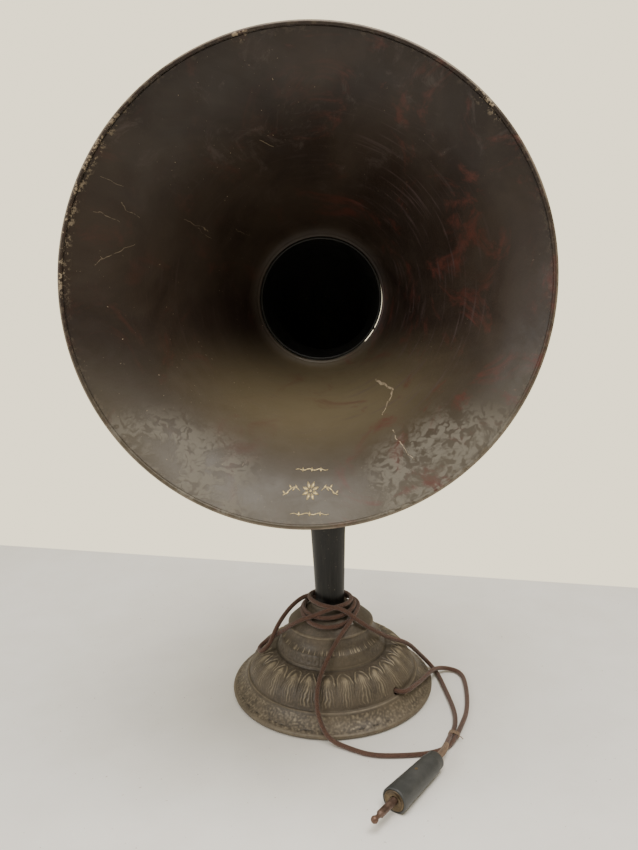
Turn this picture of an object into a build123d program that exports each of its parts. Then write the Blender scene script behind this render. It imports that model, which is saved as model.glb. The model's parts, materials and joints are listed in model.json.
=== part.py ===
from build123d import *
import os
from math import cos, exp, log, pi, radians, sin, tan

os.makedirs("parts", exist_ok=True)

# Horn loudspeaker, millimetres. Origin at the middle of the felt foot, +Z up, the bell looks along -Y.

# ---- driving dimensions ----
bell_r = 182.0            # centre of the rolled rim
rim_y, rim_z = -176.0, 427.0
bell_tilt = 7.0           # the bell looks up by this many degrees
bell_depth = 172.0
throat_r = 58.5
sheet = 1.6
bead_r, wire_r = 2.1, 1.4

base_r = 105.3
base_top = 86.0
ceiling = 64.0

neck_foot_r, neck_wall = 14.6, 2.2
neck_rise = 168.0         # where the straight neck starts to bend back
bend_back_r, bend_back = 100.0, 60.0
bend_over_r = 80.0
socket_r, socket_floor = neck_foot_r + 0.05, 68.0
socket_top = 92.5

case_r, case_z0, case_z1 = 42.0, 16.0, 42.0
cord_d = 4.5
hole_az, hole_z = -39.0, 22.5
screw_az, screw_z = -49.0, 79.5

plug_rear_r, plug_front_r, plug_l = 9.0, 11.4, 68.0
pin_r = 3.175
plug_rear = Vector(100.9, -140.0, 9.2)
plug_dir = Vector(-0.550, -0.834, 0.033).normalized()   # lies on its cone, so the pin points slightly up


def keep(builder, name):
    builder.part.label = name
    export_step(builder.part, f"parts/{name}.step")


def polar(r, az, z):
    return Vector(r * cos(radians(az)), r * sin(radians(az)), z)


def outward(r, az, z):
    """A plane facing straight out from the vertical axis,
        for holes and screws that run in from the side."""
    return Plane(origin=polar(r, az, z), x_dir=(0, 0, 1), z_dir=polar(1, az, 0))


# ---- base casting: lip, slope, bead, leaf band, petal band, cove, dome ----
with BuildPart() as base_outer:
    with BuildSketch(Plane.XZ):
        with BuildLine():
            lip = Polyline((0, 1), (base_r, 1), (base_r, 4.6), (102.5, 5.8))
            slope = ThreePointArc((102.5, 5.8), (96.3, 9.8), (91.0, 16.5))
            bead = ThreePointArc(slope @ 1, (88.9, 18.3), (87.0, 19.6))
            leaves = ThreePointArc(bead @ 1, (79.5, 34.2), (59.5, 44.6))
            petals = Polyline(leaves @ 1, (57.8, 44.2), (56.2, 46.6), (51.8, 57.2))
            cove = ThreePointArc(petals @ 1, (46.2, 62.8), (44.3, 70.6))
            step = Polyline(cove @ 1, (44.3, 72.0), (43.2, 72.6))
            dome = ThreePointArc(step @ 1, (35.5, 80.0), (24.0, base_top))
            collar = Polyline(dome @ 1, (19.2, base_top), (19.2, socket_top), (0, socket_top), (0, 1))
        make_face()
    revolve(axis=Axis.Z)
    with Locations((0, 0, ceiling)):
        Hole(11.0)
    with Locations((0, 0, socket_floor)):
        Cylinder(socket_r, 60, align=(Align.CENTER, Align.CENTER, Align.MIN), mode=Mode.SUBTRACT)

with BuildPart() as cavity:
    with BuildSketch(Plane.XZ):
        with BuildLine():
            rim = Polyline((0, -1), (98.0, -1), (98.0, 4.4), (96.0, 4.4))
            inner_slope = ThreePointArc(rim @ 1, (91.0, 8.5), (86.0, 15.0))
            inner_leaves = ThreePointArc(inner_slope @ 1, (75.5, 31.0), (56.0, 40.5))
            roof = Polyline(inner_leaves @ 1, (52.5, 43.0), (47.6, 55.5), (42.0, 60.5), (38.5, ceiling),
                            (0, ceiling), (0, -1))
        make_face()
    revolve(axis=Axis.Z)
    with PolarLocations(86.0, 4, start_angle=45):
        Cylinder(5.0, 30, align=(Align.CENTER, Align.CENTER, Align.MIN), mode=Mode.SUBTRACT)
    with Locations((0, 0, -2)):
        Cylinder(98.0, 2 + 4.4, align=(Align.CENTER, Align.CENTER, Align.MIN))
    with Locations((0, 0, case_z1 + 2.6)):
        with PolarLocations(48.0, 3, start_angle=90):
            Cylinder(5.0, 30, align=(Align.CENTER, Align.CENTER, Align.MIN), mode=Mode.SUBTRACT)

with BuildPart() as base_casting:
    add(base_outer.part)
    add(cavity.part, mode=Mode.SUBTRACT)
    with PolarLocations(86.0, 4, start_angle=45):
        Cylinder(2.0, 26, mode=Mode.SUBTRACT)
    with Locations((0, 0, case_z1)):
        with PolarLocations(48.0, 3, start_angle=90):
            Cylinder(2.0, 22, mode=Mode.SUBTRACT)
    with Locations(outward(84, hole_az, hole_z)):
        Cylinder(3.0, 24, mode=Mode.SUBTRACT)
    with Locations(outward(28, screw_az, screw_z)):
        Cylinder(2.5, 30, mode=Mode.SUBTRACT)
keep(base_casting, "base_casting")

with BuildPart() as bottom_plate:
    with Locations((0, 0, 2.2)):
        Cylinder(97.5, 2.0, align=(Align.CENTER, Align.CENTER, Align.MIN))
    with PolarLocations(86.0, 4, start_angle=45):
        Cylinder(2.2, 20, mode=Mode.SUBTRACT)
    with PolarLocations(60.0, 3):
        Cylinder(4.0, 20, mode=Mode.SUBTRACT)
keep(bottom_plate, "bottom_plate")

with BuildPart() as felt_foot:
    Cylinder(97.0, 2.2, align=(Align.CENTER, Align.CENTER, Align.MIN))
    with PolarLocations(86.0, 4, start_angle=45):
        Cylinder(5.5, 20, mode=Mode.SUBTRACT)
keep(felt_foot, "felt_foot")

with BuildPart() as base_screws:
    with PolarLocations(86.0, 4, start_angle=45):
        with Locations((0, 0, 2.2)):
            Cylinder(1.95, 9.5, align=(Align.CENTER, Align.CENTER, Align.MIN))
        with Locations((0, 0, 0.6)):
            Cylinder(4.0, 1.6, align=(Align.CENTER, Align.CENTER, Align.MIN))
    with PolarLocations(86.0, 4, start_angle=45):
        with Locations((0, 0, 0.6)):
            Box(9, 0.9, 1.4, mode=Mode.SUBTRACT)
keep(base_screws, "base_screws")

with BuildPart() as neck_set_screw:
    with Locations(outward(25.5, screw_az, screw_z)):
        Cylinder(2.4, 21.0)
    with Locations(outward(36.0, screw_az, screw_z)):
        Box(0.8, 6.0, 2.4, mode=Mode.SUBTRACT)
keep(neck_set_screw, "neck_set_screw")

# ---- driver unit under the neck ----
with BuildPart() as driver_case:
    with Locations((0, 0, case_z0)):
        Cylinder(case_r, case_z1 - case_z0, align=(Align.CENTER, Align.CENTER, Align.MIN))
        with Locations((0, 0, 3)):
            Cylinder(35.0, 40, align=(Align.CENTER, Align.CENTER, Align.MIN), mode=Mode.SUBTRACT)
    with Locations((0, 0, case_z1 - 5)):
        with PolarLocations(47.0, 3, start_angle=90):
            Cylinder(5.5, 5, align=(Align.CENTER, Align.CENTER, Align.MIN))
        Cylinder(35.0, 5, align=(Align.CENTER, Align.CENTER, Align.MIN), mode=Mode.SUBTRACT)
    with Locations((0, 0, case_z1)):
        with PolarLocations(48.0, 3, start_angle=90):
            Cylinder(2.2, 20, mode=Mode.SUBTRACT)
        with PolarLocations(38.5, 6, start_angle=30):
            Cylinder(1.25, 24, mode=Mode.SUBTRACT)
    with Locations((-6, 0, case_z0), (6, 0, case_z0)):
        Cylinder(1.6, 20, mode=Mode.SUBTRACT)
keep(driver_case, "driver_case")


def ring(outer, inner, z, height):
    """A flat ring with the six holes of the driver's cap screws."""
    with BuildPart() as flat:
        with Locations((0, 0, z)):
            Cylinder(outer, height, align=(Align.CENTER, Align.CENTER, Align.MIN))
            if inner:
                Cylinder(inner, 3 * height, mode=Mode.SUBTRACT)
            with PolarLocations(38.5, 6, start_angle=30):
                Cylinder(1.3, 6, mode=Mode.SUBTRACT)
    return flat


lower_gasket = ring(case_r, 35.0, case_z1, 0.8)
keep(lower_gasket, "lower_gasket")
upper_gasket = ring(case_r, 35.0, case_z1 + 1.15, 0.8)
keep(upper_gasket, "upper_gasket")
diaphragm = ring(case_r, 0, case_z1 + 0.8, 0.35)
keep(diaphragm, "diaphragm")

cap_z = case_z1 + 1.95
with BuildPart() as driver_cap:
    with BuildSketch(Plane.XZ):
        with BuildLine():
            Polyline((6.5, cap_z + 1.2), (33.0, cap_z + 0.5), (33.0, cap_z), (case_r, cap_z),
                     (case_r, cap_z + 4.5), (24.0, cap_z + 6.0), (9.5, cap_z + 8.0), (9.5, ceiling + 3.0),
                     (6.5, ceiling + 3.0), close=True)
        make_face()
    revolve(axis=Axis.Z)
    with Locations((0, 0, cap_z)):
        with PolarLocations(38.5, 6, start_angle=30):
            Cylinder(1.3, 20, mode=Mode.SUBTRACT)
        with PolarLocations(48.0, 3, start_angle=90):
            Cylinder(6.2, 20, mode=Mode.SUBTRACT)
keep(driver_cap, "driver_cap")

with BuildPart() as cap_screws:
    with PolarLocations(38.5, 6, start_angle=30):
        with Locations((0, 0, case_z1 - 9)):
            Cylinder(1.2, cap_z + 5.0 - case_z1 + 9, align=(Align.CENTER, Align.CENTER, Align.MIN))
        with Locations((0, 0, cap_z + 5.0)):
            Cylinder(2.3, 1.6, align=(Align.CENTER, Align.CENTER, Align.MIN))
keep(cap_screws, "cap_screws")

with BuildPart() as driver_screws:
    with PolarLocations(48.0, 3, start_angle=90):
        with Locations((0, 0, case_z1 - 5)):
            Cylinder(1.9, 15, align=(Align.CENTER, Align.CENTER, Align.MIN))
            Cylinder(3.6, 2.2, align=(Align.CENTER, Align.CENTER, Align.MAX))
keep(driver_screws, "driver_screws")

# A horseshoe magnet lies on the floor of the case, with a pole piece and a bobbin on each leg.
with BuildPart() as magnet:
    with BuildSketch(Plane.XY.offset(case_z0 + 3.1)):
        with BuildLine():
            Polyline((-19, -24), (-19, 4))
            ThreePointArc((-19, 4), (0, 23), (19, 4))
            Polyline((19, 4), (19, -24), (9, -24), (9, 4))
            ThreePointArc((9, 4), (0, 13), (-9, 4))
            Polyline((-9, 4), (-9, -24), (-19, -24))
        make_face()
    extrude(amount=8)
keep(magnet, "magnet")

pole_top = case_z1 + 0.5
with BuildPart() as pole_pieces:
    with Locations((-8.5, -14, case_z0 + 11.2), (8.5, -14, case_z0 + 11.2)):
        Box(13, 9, 2.5, align=(Align.CENTER, Align.CENTER, Align.MIN))
        Box(3, 9, pole_top - case_z0 - 11.2, align=(Align.CENTER, Align.CENTER, Align.MIN))
keep(pole_pieces, "pole_pieces")


def spool(inner_x, inner_y, outer_x, outer_y, z0, z1):
    """Two upright rectangular sleeves, one round each pole piece."""
    with BuildPart() as sleeve:
        with Locations((-8.5, -14, z0), (8.5, -14, z0)):
            Box(outer_x, outer_y, z1 - z0, align=(Align.CENTER, Align.CENTER, Align.MIN))
        with Locations((-8.5, -14, z0), (8.5, -14, z0)):
            Box(inner_x, inner_y, z1 - z0, align=(Align.CENTER, Align.CENTER, Align.MIN),
                mode=Mode.SUBTRACT)
    return sleeve


bobbins = spool(3.2, 9.2, 5.0, 11.0, case_z0 + 13.9, case_z1 - 1.0)
keep(bobbins, "bobbins")
windings = spool(5.2, 11.2, 13.5, 19.0, case_z0 + 15.0, case_z1 - 2.0)
keep(windings, "windings")

with BuildPart() as terminal_block:
    with Locations((0, 0, case_z0 - 9.1)):
        Box(26, 14, 9, align=(Align.CENTER, Align.CENTER, Align.MIN))
    with Locations((-6, 0, case_z0), (6, 0, case_z0)):
        Cylinder(1.65, 40, mode=Mode.SUBTRACT)
    fillet(terminal_block.edges().filter_by(Axis.Z).group_by(SortBy.LENGTH)[-1], 1.5)
keep(terminal_block, "terminal_block")

with BuildPart() as terminal_screws:
    with Locations((-6, 0, case_z0 - 9.2), (6, 0, case_z0 - 9.2)):
        Cylinder(1.5, 11.5, align=(Align.CENTER, Align.CENTER, Align.MIN))
        Cylinder(3.0, 1.6, align=(Align.CENTER, Align.CENTER, Align.MAX))
keep(terminal_screws, "terminal_screws")

with BuildPart() as neck_gasket:
    with Locations((0, 0, socket_floor)):
        Cylinder(socket_r - 0.15, 1.2, align=(Align.CENTER, Align.CENTER, Align.MIN))
        Cylinder(11.2, 6, mode=Mode.SUBTRACT)
keep(neck_gasket, "neck_gasket")

# ---- neck: straight and slightly tapered, back through one bend, over and forward through the next ----
forward = Vector(0, -cos(radians(bell_tilt)), sin(radians(bell_tilt)))
rim_centre = Vector(0, rim_y, rim_z)
throat = rim_centre - forward * bell_depth
over = bend_back + 90.0 - bell_tilt
back_l = radians(bend_back) * bend_back_r
over_l = radians(over) * bend_over_r
turn_1 = Vector(0, bend_back_r, neck_rise)
turn_2 = turn_1 + Vector(0, -cos(radians(bend_back)),
    sin(radians(bend_back))) * (bend_back_r + bend_over_r)
arc_end = turn_2 + Vector(0, sin(radians(bell_tilt)), cos(radians(bell_tilt))) * bend_over_r
run_out = (arc_end - throat).dot(forward) * -1
neck_l = back_l + over_l + run_out
print("neck end misses the throat by", round((arc_end + forward * run_out - throat).length, 2), "mm")
bend_r0, neck_end_r = 17.45, throat_r - 0.3
straight_taper = 0.0356


def neck_place(s):
    """Point and direction of the neck's centre line, s millimetres past the start of the bends."""
    if s <= 0:
        return Vector(0, 0, neck_rise + s), Vector(0, 0, 1)
    if s <= back_l:
        a = s / bend_back_r
        return turn_1 + Vector(0, -cos(a), sin(a)) * bend_back_r, Vector(0, sin(a), cos(a))
    if s <= back_l + over_l:
        a = radians(bend_back) - (s - back_l) / bend_over_r
        return turn_2 + Vector(0, cos(a), -sin(a)) * bend_over_r, Vector(0, sin(a), cos(a))
    return arc_end + forward * (s - back_l - over_l), forward


def neck_radius(s):
    if s <= 0:
        return bend_r0 + straight_taper * s
    return bend_r0 * exp(log(neck_end_r / bend_r0) * s / neck_l)


def neck_sections(shrink, stations=18):
    """Round sections along the neck, from just above the socket to the throat."""
    first = socket_top + 1.0 - neck_rise
    sections = []
    for i in range(stations + 1):
        s = first + (neck_l - first) * i / stations
        point, direction = neck_place(s)
        with BuildSketch(Plane(origin=point, x_dir=(1, 0, 0), z_dir=direction)) as section:
            Circle(neck_radius(s) - shrink)
        sections.append(section.sketch.faces()[0])
    return sections


with BuildPart() as gooseneck:
    loft(neck_sections(0))
    with Locations((0, 0, socket_floor + 1.5)):
        Cylinder(neck_foot_r, socket_top - socket_floor - 0.5, align=(Align.CENTER, Align.CENTER,
            Align.MIN))
    loft(neck_sections(neck_wall), mode=Mode.SUBTRACT)
    with Locations((0, 0, socket_floor)):
        Cylinder(neck_foot_r - neck_wall, socket_top + 1.0 - socket_floor,
                 align=(Align.CENTER, Align.CENTER, Align.MIN), mode=Mode.SUBTRACT)
    with Locations(Plane(origin=throat - forward * 7, x_dir=(1, 0, 0), z_dir=forward)):
        with PolarLocations(neck_end_r, 3, start_angle=90):
            Cylinder(1.3, 12, rotation=(0, 90, 0), mode=Mode.SUBTRACT)
keep(gooseneck, "gooseneck")

# ---- bell: spun sheet, rolled round a wire at the rim, with a short sleeve over the neck's end ----
bell_plane = Plane(origin=rim_centre, x_dir=(1, 0, 0), z_dir=forward)
bell_curve = [(throat_r + 1.8, 0.4), (68.0, 7.0), (76.5, 24.0), (88.5, 50.0), (104.0, 80.0),
              (124.0, 112.0), (149.0, 143.0),
              (169.0, 161.0), (bell_r - 0.8, bell_depth - 1.6)]

with BuildPart() as bell_flat:
    with BuildSketch(Plane.XZ):
        with BuildLine():
            inside = Spline(*[(r, d - bell_depth) for r, d in bell_curve])
            steps = [i / 12 for i in range(13)]
            back = [inside @ t + (inside % t).cross(Vector(0, 0, 1)) * sheet for t in steps]
            outside = Spline(*back)
            Line(inside @ 0, outside @ 0)
            Line(inside @ 1, outside @ 1)
        make_face()
    revolve(axis=Axis.Z)
    with BuildSketch(Plane.XZ):
        with Locations((bell_r, 0)):
            Circle(bead_r)
    revolve(axis=Axis.Z)
    with BuildSketch(Plane.XZ):
        with Locations((bell_r, 0)):
            Circle(wire_r + 0.05)
    revolve(axis=Axis.Z, mode=Mode.SUBTRACT)
    with Locations((0, 0, -bell_depth)):
        Cylinder(throat_r + 2.6, 14.0, align=(Align.CENTER, Align.CENTER, Align.MAX))
        Cylinder(throat_r + 2.6, 1.5, align=(Align.CENTER, Align.CENTER, Align.MIN))
        Cylinder(throat_r, 60.0, mode=Mode.SUBTRACT)
    with Locations((0, 0, -bell_depth - 7)):
        with PolarLocations(throat_r, 3, start_angle=90):
            Cylinder(1.3, 12, rotation=(0, 90, 0), mode=Mode.SUBTRACT)

with BuildPart() as bell:
    add(bell_plane.location * bell_flat.part)
keep(bell, "bell")

with BuildPart() as rim_wire_flat:
    with BuildSketch(Plane.XZ):
        with Locations((bell_r, 0)):
            Circle(wire_r)
    revolve(axis=Axis.Z)
with BuildPart() as rim_wire:
    add(bell_plane.location * rim_wire_flat.part)
keep(rim_wire, "rim_wire")

with BuildPart() as bell_screws:
    with Locations(Plane(origin=throat - forward * 7, x_dir=(1, 0, 0), z_dir=forward)):
        with PolarLocations(throat_r + 0.2, 3, start_angle=90):
            Cylinder(1.2, 4.8, rotation=(0, 90, 0))
        with PolarLocations(throat_r + 3.4, 3, start_angle=90):
            Cylinder(2.4, 1.6, rotation=(0, 90, 0))
keep(bell_screws, "bell_screws")

# ---- cord: out of the base, round the table, up the base, coiled at the neck's foot, down to the plug ----
def corner_radii(points):
    """Bend radius at each inner corner of a route, with the runs it joins kept nearly all curve."""
    points = [Vector(*p) for p in points]
    found = []
    for a, b, c in zip(points, points[1:], points[2:]):
        half = radians((b - a).get_angle(c - b)) / 2
        found.append(0.45 * min((b - a).length, (c - b).length) / tan(half))
    return found


def cord_tube(points):
    bends = corner_radii(points)
    print("cord radii", [round(r, 1) for r in bends])
    with BuildPart() as tube:
        with BuildLine() as route:
            FilletPolyline(*points, radius=bends)
        with BuildSketch(Plane(origin=route.line @ 0, z_dir=route.line % 0)):
            Circle(cord_d / 2)
        sweep()
    run = sum(edge.length for edge in route.edges())
    print("  length", round(run, 1), "volume ratio",
        round(tube.part.volume / (pi * cord_d**2 / 4 * run), 3))
    return tube


lead_start = polar(80.0, hole_az, hole_z)
lead_points = [
    tuple(lead_start), (73.0, -59.1, 22.6), (86.0, -42.0, 21.0), (98.5, -13.0, 14.5), (107.5, 8.0, 11.5),
    (121.0, 24.0, 4.2), (139.0, 18.0, 2.4), (141.0, -14.0, 2.4), (137.5, -54.0, 2.4), (128.7, -81.6, 3.6),
    (116.6, -112.0, 3.0), (99.0, -122.5, 2.4), (72.0, -127.0, 2.4), (44.0, -128.0, 2.4),
    (22.0, -118.0, 2.4),
    (2.0, -109.0, 5.2), (-9.0, -93.5, 25.0), (-8.0, -77.0, 43.5), (-3.0, -59.5, 51.5), (4.0, -52.0, 64.0),
    (13.0, -44.0, 77.0), (22.5, -30.0, 84.5)]
cord_lead = cord_tube(lead_points)
keep(cord_lead, "cord_lead")

bight_points = [
    (-15.0, -27.5, 89.0), (-32.5, -28.0, 83.5), (-49.5, -15.5, 65.5), (-65.0, -2.5, 51.0),
    (-77.0, -8.0, 43.0),
    (-73.0, -20.5, 43.5), (-63.0, -20.0, 52.0), (-56.0, -11.0, 69.0), (-44.5, 4.0, 82.0),
    (-31.0, 11.5, 91.5),
    (-19.0, 12.5, 94.5)]
cord_bight = cord_tube(bight_points)
keep(cord_bight, "cord_bight")

tail_points = [
    (14.5, -23.0, 95.0), (32.0, -27.0, 82.5), (46.0, -20.0, 70.0), (62.5, -6.5, 54.0), (80.0, 9.0, 42.0),
    (94.0, 24.0, 20.0), (104.5, 32.5, 4.4), (113.0, 15.0, 2.4), (119.5, -22.0, 2.4), (125.0, -56.0, 2.4),
    (123.4, -82.0, 3.6), (116.2, -99.6, 3.9), (113.0, -114.5, 9.6),
    tuple(plug_rear - plug_dir * 13), tuple(plug_rear + plug_dir * 2)]
cord_tail = cord_tube(tail_points)
keep(cord_tail, "cord_tail")

with BuildPart() as cord_coil:
    with BuildSketch(Plane.XZ):
        with BuildLine():
            Polyline((20.4, 88.6), (30.0, 85.4), (38.6, 79.9))
            ThreePointArc((38.6, 79.9), (41.8, 81.2), (40.0, 84.4))
            Polyline((40.0, 84.4), (33.0, 90.5), (26.2, 98.0))
            ThreePointArc((26.2, 98.0), (22.4, 100.2), (18.0, 98.6))
            Polyline((18.0, 98.6), (17.2, 94.0), (20.4, 93.2), (20.4, 88.6))
        make_face()
    revolve(axis=Axis.Z)
keep(cord_coil, "cord_coil")

# A whipping of string holds the two strands side by side before the plug.
tie_dir = Vector(-0.375, -0.927, 0).normalized()
tie_plane = Plane(origin=(120.5, -95.5, 3.7), x_dir=(-tie_dir.Y, tie_dir.X, 0), z_dir=tie_dir)
with BuildPart() as cord_tie:
    with BuildSketch(tie_plane):
        SlotCenterToCenter(4.8, 7.2)
        SlotCenterToCenter(4.8, 5.4, mode=Mode.SUBTRACT)
    extrude(amount=2.2, both=True)
keep(cord_tie, "cord_tie")

with BuildPart() as inner_knot:
    with Locations(polar(74.0, hole_az, hole_z)):
        Sphere(5.2)
keep(inner_knot, "inner_knot")

with BuildPart() as inner_lead:
    with BuildLine() as inner_route:
        FilletPolyline(tuple(polar(69.0, hole_az, hole_z)), tuple(polar(55.0, hole_az, 18.0)),
                       tuple(polar(36.0, hole_az, 10.5)), (14.0, -6.0, 10.5), radius=8.0)
    with BuildSketch(Plane(origin=inner_route.line @ 0, z_dir=inner_route.line % 0)):
        Circle(1.6)
    sweep()
keep(inner_lead, "inner_lead")

# ---- plug: hard rubber shell, brass front disc, ball-ended pin ----
plug_plane = Plane(origin=plug_rear, x_dir=(0, 0, 1), z_dir=plug_dir)


def plug_turned(profile):
    """Turn a profile of (radius, distance from the plug's rear) points about the plug's axis."""
    with BuildPart() as turned:
        with BuildSketch(Plane.XZ):
            with BuildLine():
                Polyline(*profile, close=True)
            make_face()
        revolve(axis=Axis.Z)
    return turned


shell_flat = plug_turned([
    (2.5, 0.0), (plug_rear_r - 1, 0.0), (plug_rear_r, 1.0), (plug_front_r, plug_l - 1.0),
    (plug_front_r - 0.6, plug_l), (9.6, plug_l), (9.6, plug_l - 2.4), (3.6, plug_l - 2.4), (3.6, 22.0),
    (2.5, 20.0)])
screw_r = (plug_rear_r + plug_front_r) / 2
with BuildPart() as plug_shell:
    add(plug_plane.location * shell_flat.part)
    with Locations(plug_plane.location * Location((screw_r - 1.0, 0, plug_l / 2), (0, 90, 0))):
        Cylinder(1.6, 10, mode=Mode.SUBTRACT)
keep(plug_shell, "plug_shell")

disc_flat = plug_turned([(2.9, plug_l - 2.35), (9.55, plug_l - 2.35), (9.55, plug_l - 0.1),
                         (8.9, plug_l + 0.3),
                         (2.9, plug_l + 0.3)])
with BuildPart() as plug_disc:
    add(plug_plane.location * disc_flat.part)
keep(plug_disc, "plug_disc")

shaft_z = plug_l + 21.0
ball_z = plug_l + 28.6
with BuildPart() as pin_flat:
    with BuildSketch(Plane.XZ):
        with BuildLine():
            Polyline((0, 24.0), (2.8, 24.0), (2.8, plug_l + 0.5), (pin_r, plug_l + 0.5), (pin_r, shaft_z),
                     (2.3, shaft_z + 1.2))
            ball = CenterArc((0, ball_z), 3.1, -42, 132)
            ThreePointArc((2.3, shaft_z + 1.2), (1.9, shaft_z + 3.3), ball @ 0)
            Line(ball @ 1, (0, 24.0))
        make_face()
    revolve(axis=Axis.Z)
with BuildPart() as plug_pin:
    add(plug_plane.location * pin_flat.part)
keep(plug_pin, "plug_pin")

with BuildPart() as plug_screw:
    with Locations(plug_plane.location * Location((screw_r - 2.2, 0, plug_l / 2), (0, 90, 0))):
        Cylinder(1.5, 3.6)
keep(plug_screw, "plug_screw")
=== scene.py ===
import json
from math import atan2, cos, exp, hypot, log, pi, radians, sin, sqrt, tau
import bmesh
import bpy
from mathutils import Matrix, Vector, noise


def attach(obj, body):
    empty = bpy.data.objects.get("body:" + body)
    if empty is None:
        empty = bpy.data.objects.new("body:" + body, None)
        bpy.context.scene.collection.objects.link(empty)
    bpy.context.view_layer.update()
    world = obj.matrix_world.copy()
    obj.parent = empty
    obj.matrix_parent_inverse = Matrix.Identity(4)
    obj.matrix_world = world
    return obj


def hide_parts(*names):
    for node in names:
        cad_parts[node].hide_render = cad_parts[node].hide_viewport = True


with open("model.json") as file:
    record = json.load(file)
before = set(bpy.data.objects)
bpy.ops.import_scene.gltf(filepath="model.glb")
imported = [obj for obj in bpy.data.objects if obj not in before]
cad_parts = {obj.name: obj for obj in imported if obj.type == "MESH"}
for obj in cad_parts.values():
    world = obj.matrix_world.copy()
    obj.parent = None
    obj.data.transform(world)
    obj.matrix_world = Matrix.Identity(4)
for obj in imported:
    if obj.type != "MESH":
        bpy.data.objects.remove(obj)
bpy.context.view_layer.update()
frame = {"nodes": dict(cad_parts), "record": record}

MM = 0.001


# ---------------------------------------------------------------- camera
def axes_matrix(x, y, z, place):
    """Matrix of an object whose own axes are x, y and z, at place."""
    m = Matrix((x, y, z)).transposed().to_4x4()
    m.translation = place
    return m


cam_data = bpy.data.cameras.new("camera")
cam_data.sensor_width = 36.0
cam_data.lens = 32.32
camera = bpy.data.objects.new("camera", cam_data)
bpy.context.scene.collection.objects.link(camera)
cam_right = Vector((0.99617806, 0.08171968, -0.03084088))
cam_ahead = Vector((-0.0864253, 0.97331575, -0.21257262))
camera.matrix_world = axes_matrix(cam_right, cam_right.cross(cam_ahead), -cam_ahead,
                                  Vector((0.0599, -0.7407, 0.4435)))
bpy.context.scene.camera = camera


# ---------------------------------------------------------------- small helpers
def link(name, data, matrix=None):
    obj = bpy.data.objects.new(name, data)
    bpy.context.scene.collection.objects.link(obj)
    if matrix is not None:
        obj.matrix_world = matrix
    return obj


def grid_mesh(name, rows, closed_rows=False, closed_cols=True, values=None, smooth=True):
    """A mesh over rows of points; values is an optional figure per point of wear and painted light."""
    mesh = bpy.data.meshes.new(name)
    count, width = len(rows), len(rows[0])
    verts = [p for row in rows for p in row]
    faces = []
    for i in range(count if closed_rows else count - 1):
        for j in range(width if closed_cols else width - 1):
            k, n = (i + 1) % count, (j + 1) % width
            faces.append((i * width + j, i * width + n, k * width + n, k * width + j))
    mesh.from_pydata(verts, [], faces)
    if values is not None:
        layer = mesh.attributes.new("wear_and_painted_light", "FLOAT", "POINT")
        layer.data.foreach_set("value", [v for row in values for v in row])
    mesh.polygons.foreach_set("use_smooth", [smooth] * len(mesh.polygons))
    mesh.update()
    return mesh


def fix_normals(mesh):
    bm = bmesh.new()
    bm.from_mesh(mesh)
    bmesh.ops.recalc_face_normals(bm, faces=bm.faces)
    bm.to_mesh(mesh)
    bm.free()


def arc(a, b, c, steps):
    """Points of the circular arc from a through b to c, a left out."""
    ax, ay, bx, by, cx, cy = *a, *b, *c
    d = 2 * (ax * (by - cy) + bx * (cy - ay) + cx * (ay - by))
    ux = ((ax**2 + ay**2) * (by - cy) + (bx**2 + by**2) * (cy - ay) + (cx**2 + cy**2) * (ay - by)) / d
    uy = ((ax**2 + ay**2) * (cx - bx) + (bx**2 + by**2) * (ax - cx) + (cx**2 + cy**2) * (bx - ax)) / d
    r = hypot(ax - ux, ay - uy)
    ta, tb, tc = (atan2(y - uy, x - ux) for x, y in (a, b, c))
    turn = (tc - ta) % tau
    if (tb - ta) % tau > turn:
        turn -= tau
    return [(ux + r * cos(ta + turn * i / steps), uy + r * sin(ta + turn * i / steps))
            for i in range(1, steps + 1)]


def smoothstep(a, b, x):
    t = min(1.0, max(0.0, (x - a) / (b - a)))
    return t * t * (3 - 2 * t)


def along(points, t):
    """Catmull-Rom point at t, 0 to 1, through a short list of points."""
    n = len(points) - 1
    i = min(n - 1, int(t * n))
    f = t * n - i
    p = [Vector(points[max(0, min(n, i + k))]) for k in (-1, 0, 1, 2)]
    return 0.5 * ((2 * p[1]) + (p[2] - p[0]) * f + (2 * p[0] - 5 * p[1] + 4 * p[2] - p[3]) * f * f
                  + (3 * p[1] - p[0] - 3 * p[2] + p[3]) * f**3)


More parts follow.
